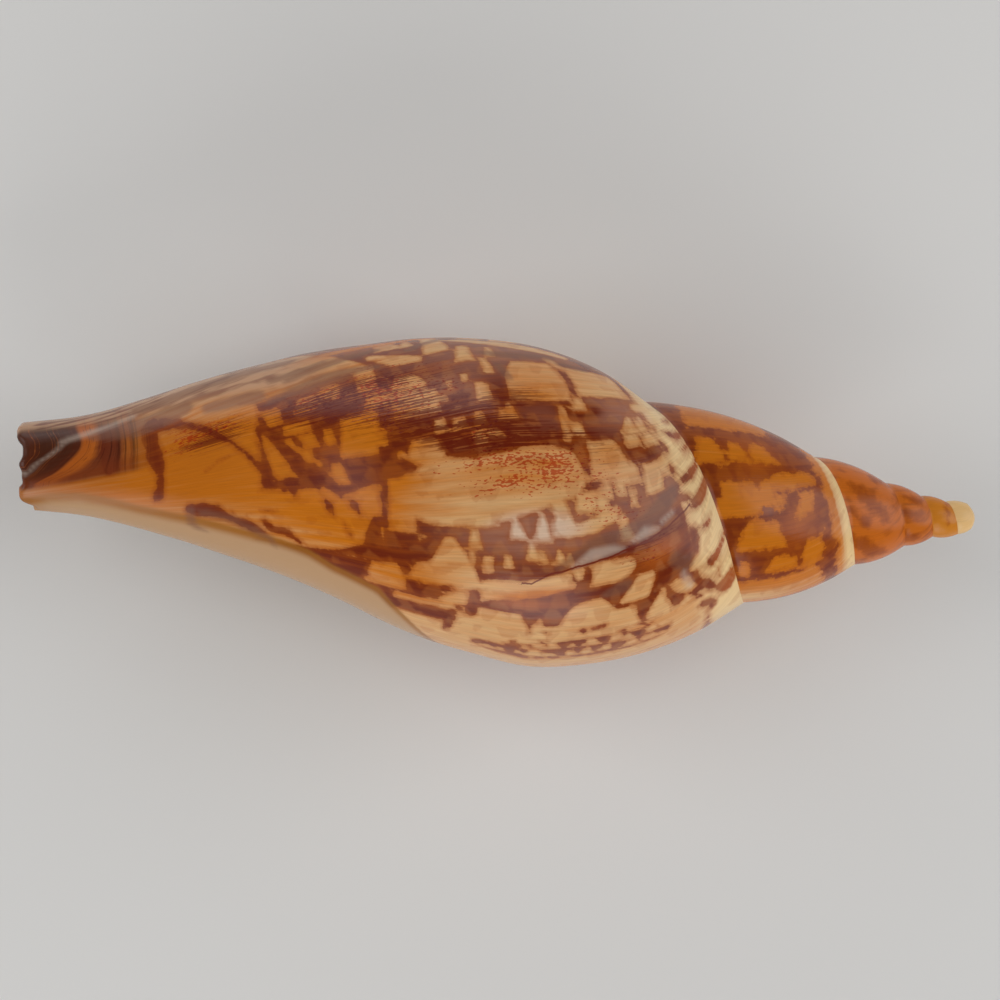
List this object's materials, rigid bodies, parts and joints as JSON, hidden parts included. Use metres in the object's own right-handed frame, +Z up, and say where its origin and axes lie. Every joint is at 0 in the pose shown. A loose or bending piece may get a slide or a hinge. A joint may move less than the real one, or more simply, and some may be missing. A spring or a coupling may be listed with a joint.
{
  "type": "volute shell",
  "caption": "Long spindle-shaped volute seashell with a pointed spire, one full last whorl, a long open aperture with plaits and a short siphonal canal, lying on its lip",
  "frame": {"origin": "centre of the bounding box's underside, on the surface the shell lies on", "axes": "+X along the shell's axis towards the apex, +Y towards the outer lip's side, +Z up through the back of the last whorl"},
  "size_m": [0.1814, 0.061, 0.054],
  "materials": {
    "glossy_shell": "gloss"
  },
  "bodies": {
    "root": {"shell": "glossy_shell"}
  },
  "joints": []
}
